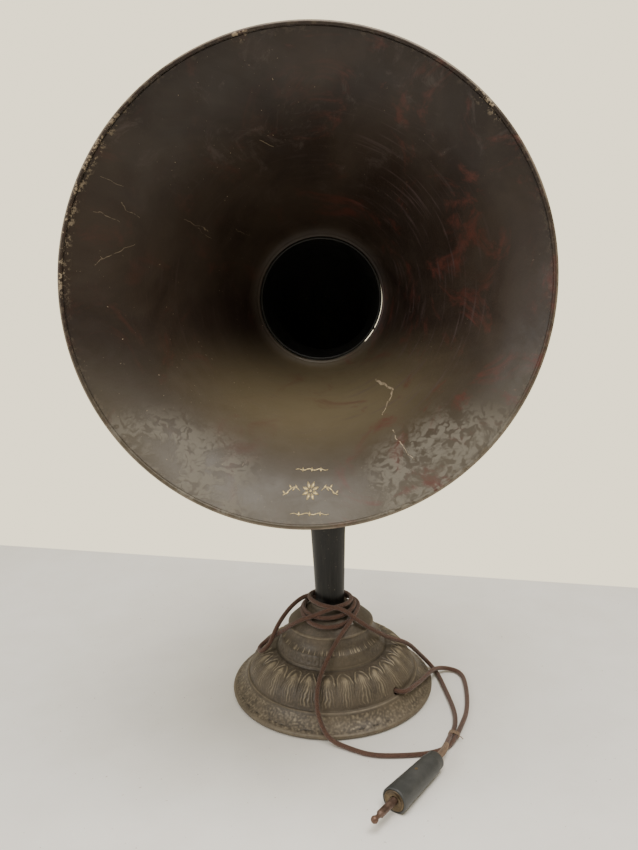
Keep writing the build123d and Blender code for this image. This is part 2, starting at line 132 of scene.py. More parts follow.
# ---------------------------------------------------------------- material helpers
class Nodes:
    """A short way to build one node material."""

    def __init__(self, name, coat=0.0):
        self.mat = bpy.data.materials.new(name)
        self.mat.use_nodes = True
        self.tree = self.mat.node_tree
        self.shader = self.tree.nodes["Principled BSDF"]
        self.place = self.node("ShaderNodeTexCoord").outputs["Object"]
        if coat:
            self.shader.inputs["Coat Weight"].default_value = coat
            self.shader.inputs["Coat Roughness"].default_value = 0.18

    def node(self, kind, **settings):
        made = self.tree.nodes.new(kind)
        for key, value in settings.items():
            setattr(made, key, value)
        return made

    def join(self, a, b):
        self.tree.links.new(a, b)

    def scaled(self, scale, rotation=(0, 0, 0)):
        m = self.node("ShaderNodeMapping")
        m.inputs["Scale"].default_value = scale
        m.inputs["Rotation"].default_value = rotation
        self.join(self.place, m.inputs["Vector"])
        return m.outputs["Vector"]

    def noise(self, scale, detail=4.0, rough=0.6, vector=None, distortion=0.0):
        n = self.node("ShaderNodeTexNoise")
        n.inputs["Scale"].default_value = scale
        n.inputs["Detail"].default_value = detail
        n.inputs["Roughness"].default_value = rough
        n.inputs["Distortion"].default_value = distortion
        self.join(vector or self.place, n.inputs["Vector"])
        return n.outputs["Fac"]

    def ramp(self, fac, low, high, a=0.0, b=1.0):
        r = self.node("ShaderNodeMapRange", interpolation_type="SMOOTHSTEP")
        for key, value in (("From Min", low), ("From Max", high), ("To Min", a), ("To Max", b)):
            r.inputs[key].default_value = value
        self.join(fac, r.inputs["Value"])
        return r.outputs["Result"]

    def math(self, operation, a, b=None):
        m = self.node("ShaderNodeMath", operation=operation)
        for socket, value in zip(m.inputs, (a, b)):
            if value is None:
                continue
            if isinstance(value, (int, float)):
                socket.default_value = value
            else:
                self.join(value, socket)
        return m.outputs[0]

    def vmath(self, operation, a, b):
        m = self.node("ShaderNodeVectorMath", operation=operation)
        for socket, value in zip(m.inputs, (a, b)):
            if isinstance(value, (tuple, Vector)):
                socket.default_value = value
            else:
                self.join(value, socket)
        return m.outputs["Value"] if operation in ("DOT_PRODUCT", "LENGTH", "DISTANCE") else m.outputs[0]

    def mix(self, fac, a, b):
        m = self.node("ShaderNodeMix", data_type="RGBA")
        self.join(fac, m.inputs["Factor"])
        for socket, value in ((m.inputs[6], a), (m.inputs[7], b)):
            if isinstance(value, tuple):
                socket.default_value = (*value, 1.0)
            else:
                self.join(value, socket)
        return m.outputs[2]

    def attribute(self, name):
        return self.node("ShaderNodeAttribute", attribute_name=name).outputs["Fac"]

    def bump(self, height, strength, distance):
        b = self.node("ShaderNodeBump")
        b.inputs["Strength"].default_value = strength
        b.inputs["Distance"].default_value = distance
        self.join(height, b.inputs["Height"])
        self.join(b.outputs["Normal"], self.shader.inputs["Normal"])

    def finish(self, color=None, rough=None, metal=None):
        for socket, value in (("Base Color", color), ("Roughness", rough), ("Metallic", metal)):
            if value is None:
                continue
            if isinstance(value, tuple):
                self.shader.inputs[socket].default_value = (*value, 1.0)
            elif isinstance(value, (int, float)):
                self.shader.inputs[socket].default_value = value
            else:
                self.join(value, self.shader.inputs[socket])
        return self.mat


# ---------------------------------------------------------------- cord
CORD_D = 4.5
HOLE_AZ, HOLE_Z = radians(-39.0), 22.5
PLUG_REAR = Vector((100.9, -140.0, 9.2))
PLUG_DIR = Vector((-0.550, -0.834, 0.033)).normalized()
PLUG_FRONT_R, PLUG_L = 11.4, 68.0

lead_route = [
    (80 * cos(HOLE_AZ), 80 * sin(HOLE_AZ), HOLE_Z), (73.0, -59.1, 22.6), (86.0, -42.0, 21.0),
    (98.5, -13.0, 14.5),
    (107.5, 8.0, 11.5), (121.0, 24.0, 4.2), (139.0, 18.0, 2.4), (141.0, -14.0, 2.4), (137.5, -54.0, 2.4),
    (128.7, -81.6, 3.6), (116.6, -112.0, 3.0), (99.0, -122.5, 2.4), (72.0, -127.0, 2.4), (44.0, -128.0, 2.4),
    (22.0, -118.0, 2.4), (2.0, -109.0, 5.2), (-9.0, -93.5, 25.0), (-8.0, -77.0, 43.5), (-3.0, -59.5, 51.5),
    (4.0, -52.0, 64.0), (13.0, -44.0, 77.0), (22.5, -30.0, 84.5)]
bight_route = [
    (-15.0, -27.5, 89.0), (-32.5, -28.0, 83.5), (-49.5, -15.5, 65.5), (-65.0, -2.5, 51.0),
    (-77.0, -8.0, 43.0), (-73.0, -20.5, 43.5), (-63.0, -20.0, 52.0), (-56.0, -11.0, 69.0),
    (-44.5, 4.0, 82.0), (-31.0, 11.5, 91.5), (-19.0, 12.5, 94.5)]
tail_route = [
    (14.5, -23.0, 95.0), (32.0, -27.0, 82.5), (46.0, -20.0, 70.0), (62.5, -6.5, 54.0), (80.0, 9.0, 42.0),
    (94.0, 24.0, 20.0), (104.5, 32.5, 4.4), (113.0, 15.0, 2.4), (119.5, -22.0, 2.4), (125.0, -56.0, 2.4),
    (123.4, -82.0, 3.6), (116.2, -99.6, 3.9), (113.0, -114.5, 9.6), tuple(PLUG_REAR - PLUG_DIR * 13),
    tuple(PLUG_REAR + PLUG_DIR * 2)]


def wound(start_az, end_az, stages):
    """Loose turns about the neck; stages are (share of the way, radius, height)."""
    steps = int(abs(end_az - start_az) / 24)
    points = []
    for i in range(1, steps):
        f = i / steps
        for (f0, r0, z0), (f1, r1, z1) in zip(stages, stages[1:]):
            if f0 <= f <= f1:
                g = smoothstep(f0, f1, f)
                r, z = r0 + (r1 - r0) * g, z0 + (z1 - z0) * g
        az = radians(start_az + (end_az - start_az) * f)
        drawn_in = max(0.0, r - 27.5) * 0.75 * cos(az)**2
        points.append(((r - drawn_in) * cos(az), (r - drawn_in) * sin(az), z + 0.55 * drawn_in))
    return points


first_turns = wound(-53, 868, [(0.0, 37.0, 84.0), (0.18, 33.0, 85.5), (0.34, 38.5, 81.3), (0.52, 33.0, 85.6),
                               (0.72, 30.0, 87.0), (0.86, 25.5, 91.5), (1.0, 23.0, 94.0)])
last_turns = wound(242, 662, [(0.0, 29.0, 91.0), (0.1, 23.5, 96.5), (0.45, 21.5, 95.5), (0.8, 22.0, 99.5),
                              (1.0, 25.5, 96.5)])
cord_route = lead_route + first_turns + bight_route[::-1] + last_turns + tail_route


def nurbs(name, points, radius):
    data = bpy.data.curves.new(name, "CURVE")
    data.dimensions = "3D"
    spline = data.splines.new("NURBS")
    spline.points.add(len(points) - 1)
    for slot, p in zip(spline.points, points):
        slot.co = (p[0] * MM, p[1] * MM, p[2] * MM, 1.0)
    spline.order_u = 3
    spline.use_endpoint_u = True
    spline.resolution_u = 10
    data.bevel_depth = radius * MM
    data.bevel_resolution = 6
    data.use_fill_caps = True
    return link(name, data)


def route_line(obj):
    """Points of a curve's centre line, in metres."""
    depth, obj.data.bevel_depth = obj.data.bevel_depth, 0.0
    bpy.context.view_layer.update()
    mesh = bpy.data.meshes.new_from_object(obj.evaluated_get(bpy.context.evaluated_depsgraph_get()))
    points = [v.co.copy() for v in mesh.vertices]
    bpy.data.meshes.remove(mesh)
    obj.data.bevel_depth = depth
    return points


cord = nurbs("braided_cord", cord_route, CORD_D / 2)
cord_line = route_line(cord)


# ---------------------------------------------------------------- base: turned body with cast relief
# The cord comes out through a small hole low in the leaf band.
HOLE_R, HOLE_SUNK = 86.2, 2.4
CORD_HOLE = Vector((HOLE_R * cos(HOLE_AZ), HOLE_R * sin(HOLE_AZ), HOLE_Z))
LEAVES = 26
PETALS = 44
AROUND = 1440


def leaf_relief(u, t):
    """Height in mm of one acanthus leaf; u runs -0.5 to 0.5 across it, t up the band."""
    a = abs(u)
    head = 0.0
    if t > 0.5:
        edge = 0.43 * sqrt(max(0.0, 1 - ((t - 0.56) / 0.36)**2)) if t < 0.92 else 0.0
        head = 0.95 * exp(-((a - edge) / 0.05)**2) * smoothstep(0.5, 0.66, t) * (1 - smoothstep(0.9, 0.94, t))
        head += 0.7 * exp(-(a / 0.15)**2 - ((t - 0.76) / 0.085)**2)
    fade = smoothstep(0.0, 0.1, t) * (1 - smoothstep(0.66, 0.8, t))
    spread = 0.5 - 0.16 * smoothstep(0.25, 0.7, t)
    veins = 0.0
    for k, place in enumerate((0.0, 0.3, 0.58, 0.86)):
        width = 0.045 if k else 0.06
        veins += (0.75 - 0.12 * k) * exp(-((a - place * spread - 0.05 * (1 - t) * place) / width)**2)
    seam = -0.7 * exp(-((0.5 - a) / 0.035)**2) * smoothstep(0.1, 0.5, t)
    return head + veins * fade + seam


def petal_relief(u, t):
    petal = 0.4 * sqrt(max(0.0, 1 - (2 * u)**2)) * smoothstep(0.0, 0.12, t) * (1 - smoothstep(0.85, 1.0, t))
    hole = -0.6 * exp(-(u / 0.16)**2 - ((t - 0.45) / 0.16)**2)
    return petal + hole


# Each stretch: its points, the relief on it and how worn bright its edges are.
stretches = [
    ("foot", [(97.6, 1.2), (104.6, 1.0)], 1),
    ("lip", arc((104.6, 1.0), (105.5, 2.7), (104.9, 4.6), 5) + [(103.6, 5.4)], 1),
    ("slope", arc((103.6, 5.4), (96.9, 9.7), (91.2, 16.3), 26), 1),
    ("bead", arc((91.2, 16.3), (89.4, 18.5), (87.2, 19.4), 7), 1),
    ("leaves", arc((87.2, 19.4), (79.5, 34.2), (59.5, 44.6), 64), 1),
    ("groove", [(58.6, 44.7), (57.8, 44.0), (56.9, 45.0), (56.2, 46.6)], 1),
    ("petals", [(56.2 - 4.4 * i / 18, 46.6 + 10.6 * i / 18) for i in range(1, 19)], 1),
    ("cove", arc((51.8, 57.2), (46.2, 62.8), (44.3, 70.6), 20), 1),
    ("edge", arc((44.3, 70.6), (44.35, 72.3), (43.2, 72.9), 5), 1),
    ("dome", arc((43.2, 72.9), (35.5, 80.0), (24.0, 86.0), 22), 1),
    ("collar", [(22.6, 86.2), (19.9, 86.4), (19.2, 87.2), (19.2, 91.7), (18.6, 92.5), (15.4, 92.5),
                (14.66, 91.8), (14.66, 74.0)], 1)]


def base_rows():
    path = [(name, i / max(1, len(pts) - 1), p) for name, pts, _ in stretches for i, p in enumerate(pts)]
    rows, wear_and_painted_light = [], []
    for k, (name, t, (r, z)) in enumerate(path):
        before, after = path[max(0, k - 1)][2], path[min(len(path) - 1, k + 1)][2]
        tr, tz = after[0] - before[0], after[1] - before[1]
        size = hypot(tr, tz) or 1.0
        nr, nz = tz / size, -tr / size
        row, worn = [], []
        for j in range(AROUND):
            a = tau * j / AROUND
            h, w = 0.0, 0.0
            here = Vector((r * cos(a), r * sin(a), z))
            if name == "leaves":
                wobble = 0.14 * noise.noise(here * 0.07) + 0.06 * noise.noise(here * 0.25)
                h = leaf_relief((a / tau * LEAVES + wobble) % 1.0 - 0.5, t)
                w = 0.75 * smoothstep(0.05, 0.8, h) * (0.7 + 0.3 * smoothstep(0.1, 0.7, t))
                h *= 0.85 + 0.3 * noise.noise(here * 0.05)
            elif name == "petals":
                h = petal_relief((a / tau * PETALS) % 1.0 - 0.5, t)
                w = smoothstep(0.25, 0.5, h) * 0.4 - (0.25 if h < -0.25 else 0.0)
            elif name == "slope":
                ring = exp(-((r - 100.4) / 0.55)**2)
                broken = smoothstep(-0.05, 0.25, noise.noise(here * 0.16 + Vector((9, 0, 0))))
                h = -0.45 * ring * broken
                w = 0.3 + 0.45 * noise.noise(here * 0.45) - 0.9 * ring * broken
            elif name == "bead":
                # Bright line along the bead: partly rubbed metal and partly a painted highlight.
                w = 0.5 * exp(-((t - 0.5) / 0.22)**2)
            elif name in ("lip", "edge"):
                w = 0.4
            elif name == "groove":
                w = -0.3 if t < 0.9 else 0.4
            elif name == "cove":
                streak = noise.noise(Vector((40 * cos(a), 40 * sin(a), z * 0.04)))
                w = smoothstep(0.0, 0.5, streak) * (1 - smoothstep(0.05, 0.55, t)) * 0.9
            h += 0.10 * noise.noise(here * 0.5) + 0.06 * noise.noise(here * 1.3)
            # Painted shade: the cord hole is sunk into the relief, and its figure is pushed far below zero so
            # the hole is painted near black.
            sunk = 1 - smoothstep(2.7, 3.5, (here - CORD_HOLE).length)
            h, w = h - HOLE_SUNK * sunk, w - 1.6 * sunk
            if name in ("foot", "collar"):
                h = 0.0
            row.append(((r + nr * h) * cos(a) * MM, (r + nr * h) * sin(a) * MM, (z + nz * h) * MM))
            worn.append(w)
        rows.append(row)
        wear_and_painted_light.append(worn)
    return rows, wear_and_painted_light


rows, wear_and_painted_light = base_rows()
base_mesh = grid_mesh("base_relief", rows, values=wear_and_painted_light)
fix_normals(base_mesh)
base = link("base_relief", base_mesh)


# ---------------------------------------------------------------- bell
TILT = radians(7.0)
RIM = Vector((0, -176.0, 427.0))
FORWARD = Vector((0, -cos(TILT), sin(TILT)))
BELL_DEPTH, THROAT_R, BELL_R, BEAD_R, SHEET = 172.0, 58.5, 182.0, 2.1, 1.6
BELL_UP = FORWARD.cross(Vector((1, 0, 0)))
bell_matrix = axes_matrix(Vector((1, 0, 0)), BELL_UP, FORWARD, RIM * MM)
bell_curve = [(THROAT_R + 1.8, 0.4), (68.0, 7.0), (76.5, 24.0), (88.5, 50.0), (104.0, 80.0), (124.0, 112.0),
              (149.0, 143.0), (169.0, 161.0), (BELL_R - 0.8, BELL_DEPTH - 1.6)]


def bell_wall(t):
    """Radius and depth behind the rim of the bell's inner face, from throat to rim, and its normal."""
    p, q = along(bell_curve, t), along(bell_curve, min(1.0, t + 0.002))
    if t >= 1.0:
        p, q = along(bell_curve, 0.998), along(bell_curve, 1.0)
        p, q = q, q + (q - p)
    d = (q - p).normalized()
    return p.x, p.y - BELL_DEPTH, Vector((-d.y, d.x))


def dent(x, y):
    """Shallow dents that the sheet has taken, in mm, at a point of the bell's face."""
    depth = 0.0
    for cx, cy, size, deep in ((-130, 92, 10, 1.1), (-137, 66, 9, 0.9), (-24, 119, 7, 0.6),
                               (96, 112, 12, 0.5), (128, 34, 9, 0.5), (-110, -70, 16, 0.5)):
        depth += deep * exp(-((x - cx)**2 + (y - cy)**2) / size**2)
    return depth


def bell_rows(around=360):
    inner = [bell_wall(i / 90) for i in range(91)]
    bead = [(BELL_R + BEAD_R * cos(b), BEAD_R * sin(b)) for b in
            (radians(150 - 300 * i / 18) for i in range(19))]
    profile = [(r, z, 1.0) for r, z, n in inner]
    profile += [(r, z, 0.0) for r, z in bead]
    profile += [(r - n.x * SHEET, z - n.y * SHEET, 1.0) for r, z, n in inner[::-1] if z > -BELL_DEPTH + 2.0]
    profile += [(THROAT_R + 2.6, -BELL_DEPTH + 1.2, 0.0), (THROAT_R + 2.6, -BELL_DEPTH - 13.2, 0.0),
                (THROAT_R + 2.0, -BELL_DEPTH - 14.0, 0.0), (THROAT_R, -BELL_DEPTH - 14.0, 0.0),
                (THROAT_R, -BELL_DEPTH - 0.4, 0.0), (THROAT_R + 0.5, -BELL_DEPTH + 0.25, 0.0)]
    rows = []
    for r, z, soft in profile:
        row = []
        for j in range(around):
            a = tau * j / around
            x, y = r * cos(a), r * sin(a)
            push = dent(x, y) * soft
            wave = 0.25 * soft * noise.noise(Vector((x, y, z)) * 0.012)
            row.append((x * MM, y * MM, (z - push + wave) * MM))
        rows.append(row)
    return rows


bell_mesh = grid_mesh("bell_sheet", bell_rows(), closed_rows=True)
fix_normals(bell_mesh)
bell = link("bell_sheet", bell_mesh, bell_matrix)


def wall_height(r):
    """Depth of the bell's inner face at radius r, by halving."""
    low, high = 0.0, 1.0
    for _ in range(24):
        mid = (low + high) / 2
        low, high = (mid, high) if bell_wall(mid)[0] < r else (low, mid)
    return bell_wall(low)


def petal_outline(cx, cy, angle, length, width, points=14):
    """A pointed leaf from (cx, cy) along angle, as an outline."""
    side = [(length * i / points, width / 2 * sin(pi * (i / points)**0.8)) for i in range(points + 1)]
    outline = side + [(x, -y) for x, y in side[-2:0:-1]]
    return [(cx + x * cos(angle) - y * sin(angle), cy + x * sin(angle) + y * cos(angle)) for x, y in outline]


def band_outline(path, width):
    """A thin stroke of the given width along a path."""
    left, right = [], []
    for i, (x, y) in enumerate(path):
        ax, ay = path[max(0, i - 1)]
        bx, by = path[min(len(path) - 1, i + 1)]
        size = hypot(bx - ax, by - ay) or 1.0
        taper = 0.35 + 0.65 * sin(pi * i / (len(path) - 1))
        nx, ny = -(by - ay) / size * width / 2 * taper, (bx - ax) / size * width / 2 * taper
        left.append((x + nx, y + ny))
        right.append((x - nx, y - ny))
    return left, right


def ornament():
    """Plain gilt rosette between two leafy scrolls, laid on the bell's lower wall."""
    verts, faces = [], []

    def place(x, y, lift=0.12):
        r = hypot(x, y)
        _, z, n = wall_height(r)
        k = (r + n.x * lift) / r
        return (x * k * MM, y * k * MM, (z + n.y * lift - dent(x, y)) * MM)

    def fill(outline):
        cx = sum(p[0] for p in outline) / len(outline)
        cy = sum(p[1] for p in outline) / len(outline)
        first = len(verts)
        verts.append(place(cx, cy))
        verts.extend(place(x, y) for x, y in outline)
        n = len(outline)
        faces.extend((first, first + 1 + i, first + 1 + (i + 1) % n) for i in range(n))

    def stroke(path, width):
        left, right = band_outline(path, width)
        first = len(verts)
        verts.extend(place(x, y) for x, y in left + right)
        n = len(left)
        faces.extend((first + i, first + i + 1, first + n + i + 1, first + n + i) for i in range(n - 1))

    cx, cy = 1.5, -158.0
    for k in range(8):
        a = tau * k / 8 + pi / 8
        fill(petal_outline(cx + 1.6 * cos(a), cy + 1.6 * sin(a), a, 5.4, 2.3))
    fill([(cx + 1.1 * cos(tau * k / 14), cy + 1.1 * sin(tau * k / 14)) for k in range(14)])
    for side in (-1, 1):
        sprig = [(cx + side * (8.2 + 13.5 * t), cy + 2.6 * sin(1.5 * pi * t))
                 for t in (i / 20 for i in range(21))]
        stroke(sprig, 0.8)
        for t, lean in ((0.15, 1), (0.32, -1), (0.5, 1), (0.68, -1), (0.85, 1)):
            x, y = sprig[int(t * 20)]
            angle = (0 if side > 0 else pi) + lean * side * 0.9
            fill(petal_outline(x, y, angle, 3.4, 1.3))
    for row_y, half in ((-143.5, 13.0), (-173.5, 15.0)):
        wave = [(cx + half * (2 * t - 1), row_y + 0.5 * sin(6 * pi * t)) for t in (i / 40 for i in range(41))]
        stroke(wave, 0.75)
        for k in (-1, 0, 1):
            x = cx + k * half * 0.55
            fill([(x + 1.0 * cos(tau * j / 4), row_y + 1.7 * sin(tau * j / 4)) for j in range(4)])
    mesh = bpy.data.meshes.new("gilt_rosette")
    mesh.from_pydata(verts, [], faces)
    mesh.update()
    for poly in mesh.polygons:
        poly.use_smooth = True
    return mesh


gilt_mesh = ornament()
fix_normals(gilt_mesh)
gilt = link("gilt_rosette", gilt_mesh, bell_matrix)
solid = gilt.modifiers.new("thickness", "SOLIDIFY")
solid.thickness = 0.08 * MM
solid.offset = 0

# ---------------------------------------------------------------- neck
NECK_RISE, BACK_R, BACK, OVER_R = 168.0, 100.0, radians(60.0), 80.0
BEND_R0, NECK_END_R, NECK_WALL = 17.45, THROAT_R - 0.3, 2.2
throat = RIM - FORWARD * BELL_DEPTH
turn_1 = Vector((0, BACK_R, NECK_RISE))
turn_2 = turn_1 + Vector((0, -cos(BACK), sin(BACK))) * (BACK_R + OVER_R)
arc_end = turn_2 + Vector((0, sin(TILT), cos(TILT))) * OVER_R
back_l, over_l = BACK * BACK_R, (BACK + pi / 2 - TILT) * OVER_R
neck_l = back_l + over_l + (throat - arc_end).dot(FORWARD)


def neck_place(s):
    if s <= 0:
        return Vector((0, 0, NECK_RISE + s)), Vector((0, 0, 1))
    if s <= back_l:
        a = s / BACK_R
        return turn_1 + Vector((0, -cos(a), sin(a))) * BACK_R, Vector((0, sin(a), cos(a)))
    if s <= back_l + over_l:
        a = BACK - (s - back_l) / OVER_R
        return turn_2 + Vector((0, cos(a), -sin(a))) * OVER_R, Vector((0, sin(a), cos(a)))
    return arc_end + FORWARD * (s - back_l - over_l), FORWARD


def neck_radius(s):
    if s <= 93.5 - NECK_RISE:
        return 14.6
    return BEND_R0 + 0.0356 * s if s <= 0 else BEND_R0 * exp(log(NECK_END_R / BEND_R0) * s / neck_l)


def neck_rows(around=128):
    first = 69.5 - NECK_RISE
    stations = [first, first + 0.6] + [first + (neck_l - first) * i / 130 for i in range(1, 130)]
    stations += [neck_l - 0.5, neck_l]
    rows = []
    for side in (0, 1):
        for s in (stations if side == 0 else stations[::-1]):
            point, direction = neck_place(s)
            up = Vector((1, 0, 0)).cross(direction)
            r = neck_radius(s) - side * NECK_WALL
            row = []
            for j in range(around):
                a = tau * j / around
                p = point + (Vector((1, 0, 0)) * cos(a) + up * sin(a)) * r
                p += ((p - point).normalized() * 0.12 * noise.noise(p * 0.05) * (1 - side)
                      * smoothstep(-60, -40, s))
                row.append(p * MM)
            rows.append(row)
    return rows


neck_mesh = grid_mesh("curved_neck", neck_rows(), closed_rows=True)
fix_normals(neck_mesh)
neck = link("curved_neck", neck_mesh)


# ---------------------------------------------------------------- plug and ties
def turned(name, profile, matrix, around=72, closed=True):
    rows = [[(r * cos(tau * j / around) * MM, r * sin(tau * j / around) * MM, z * MM) for j in range(around)]
            for r, z in profile]
    mesh = grid_mesh(name, rows, closed_rows=closed)
    fix_normals(mesh)
    return link(name, mesh, matrix)


plug_matrix = axes_matrix(Vector((0, 0, 1)), PLUG_DIR.cross(Vector((0, 0, 1))), PLUG_DIR, PLUG_REAR * MM)
shell_profile = [(2.6, 0.4), (3.0, 0.0)] + arc((3.0, 0.0), (7.4, 0.3), (8.6, 1.6), 8)
shell_profile += [(8.75, 7.6), (9.15, 8.2)]
shell_profile += [(9.3 + (PLUG_FRONT_R - 9.3) * i / 20, 8.5 + 57.6 * i / 20) for i in range(21)]
shell_profile += arc((PLUG_FRONT_R, 66.5), (11.1, 67.6), (10.2, 68.0), 5) + [
    (9.65, 67.8), (9.65, 65.7), (3.6, 65.7), (3.6, 22.0), (2.6, 20.0)]
plug_shell = turned("plug_barrel", shell_profile, plug_matrix)
disc_profile = [(3.4, 65.7), (9.4, 65.7), (9.5, 67.4), (9.2, 68.1), (8.6, 68.3), (8.1, 68.1), (7.8, 67.7),
                (5.6, 67.6), (5.2, 67.9), (3.4, 67.9)]
plug_disc = turned("plug_face", disc_profile, plug_matrix)
plug_pin, plug_screw = frame["nodes"]["plug_pin"], frame["nodes"]["plug_screw"]
BALL_AT = PLUG_REAR + PLUG_DIR * (PLUG_L + 28.6)

tie_dir = Vector((-0.375, -0.927, 0)).normalized()
tie_side = Vector((-tie_dir.y, tie_dir.x, 0))
tie_centre = Vector((120.5, -95.5, 3.7))


def whipping():
    """String wound six times round the two strands, its ends left as short tails."""
    points = []
    turns = 6
    for i in range(turns * 16 + 1):
        a = tau * i / 16
        x = 2.3 * max(-1.0, min(1.0, 1.6 * cos(a))) + 2.75 * cos(a)
        z = 2.75 * sin(a)
        s = -2.2 + 4.4 * i / (turns * 16) + 0.25 * sin(2.3 * a)
        points.append(tie_centre + tie_side * x + Vector((0, 0, z)) + tie_dir * s)
    tail = points[-1]
    points += [tail + tie_side * 1.6 + Vector((0, 0, 1.0)), tail + tie_side * 3.0 + Vector((0, 0, 0.4)),
               tail + tie_side * 4.6 + tie_dir * 1.2 - Vector((0, 0, 0.3))]
    return points


tie = nurbs("string_whipping", whipping(), 0.42)
tie.data.bevel_resolution = 3


def cord_at(back):
    """Point of the cord's centre line, and its direction, this many mm before its end."""
    gone = 0.0
    for near, far in zip(cord_line[::-1], cord_line[-2::-1]):
        step = (far - near).length / MM
        if step > 0 and gone + step >= back:
            return near.lerp(far, (back - gone) / step) / MM, (far - near).normalized()
        gone += step


def frayed(count=14, reach=25.0):
    """Loose tan threads of the braid, twisted about the cord where it has split open behind the plug."""
    strands = []
    for k in range(count):
        points = []
        for i in range(15):
            t = i / 14
            centre, way = cord_at(1.0 + reach * t)
            side = way.cross(Vector((0, 0, 1))).normalized()
            spin = tau * k / count + 5.0 * t
            r = 2.25 + (0.35 + 0.3 * ((k * 7) % 5) / 4) * sin(pi * t)
            points.append(centre + (side * cos(spin) + side.cross(way) * sin(spin)) * r)
        strands.append(points)
    return strands


fray_data = bpy.data.curves.new("frayed_braid", "CURVE")
fray_data.dimensions = "3D"
for pts in frayed():
    spline = fray_data.splines.new("NURBS")
    spline.points.add(len(pts) - 1)
    for slot, p in zip(spline.points, pts):
        slot.co = (p.x * MM, p.y * MM, p.z * MM, 1.0)
    spline.order_u = 3
    spline.use_endpoint_u = True
fray_data.bevel_depth = 0.42 * MM
fray_data.bevel_resolution = 2
fray_data.use_fill_caps = True
fray = link("frayed_braid", fray_data)


# ---------------------------------------------------------------- materials
def bronze():
    m = Nodes("bronzed_casting")
    wear_and_light_value = m.attribute("wear_and_painted_light")
    grain = m.noise(420, 6, 0.7)
    patch = m.noise(22, 5, 0.65, distortion=0.6)
    fine = m.noise(1500, 3, 0.6)
    ground = m.mix(m.ramp(patch, 0.35, 0.68), (0.078, 0.064, 0.051), (0.145, 0.117, 0.086))
    ground = m.mix(m.ramp(grain, 0.45, 0.75, 0.0, 0.55), ground, (0.20, 0.165, 0.12))
    rubbed = m.noise(150, 4, 0.7)
    # Rubbed bright where the figure is high: worn raised relief and edges, with a painted highlight along the
    # bead.
    bright = m.math("MULTIPLY", m.ramp(wear_and_light_value, 0.12, 0.85), m.ramp(rubbed, 0.28, 0.62, 0.35, 1.0))
    color = m.mix(bright, ground, (0.36, 0.30, 0.21))
    # Near black where the figure is below zero: darker in the grooves and petal hollows, and painted shade in
    # the cord hole.
    color = m.mix(m.ramp(wear_and_light_value, -0.1, -0.7), color, (0.02, 0.017, 0.014))
    m.bump(m.math("ADD", m.math("MULTIPLY", grain, 0.6), m.math("MULTIPLY", fine, 0.4)), 0.35, 0.0006)
    return m.finish(color, m.ramp(patch, 0.3, 0.7, 0.42, 0.6), 0.35)


def segment(m, a, b, width, vector):
    """Mask that is 1 on a thin line from a to b on the bell's face and 0 away from it."""
    a, b = Vector((a[0] * MM, a[1] * MM, 0)), Vector((b[0] * MM, b[1] * MM, 0))
    d = b - a
    rel = m.vmath("SUBTRACT", vector, a)
    t = m.math("DIVIDE", m.vmath("DOT_PRODUCT", rel, d), d.length_squared)
    t = m.math("MAXIMUM", m.math("MINIMUM", t, 1.0), 0.0)
    scale = m.node("ShaderNodeVectorMath", operation="SCALE")
    scale.inputs[0].default_value = d
    m.join(t, scale.inputs["Scale"])
    dist = m.vmath("LENGTH", m.vmath("SUBTRACT", rel, scale.outputs[0]), (0, 0, 0))
    return m.ramp(dist, width * MM, width * 0.45 * MM)


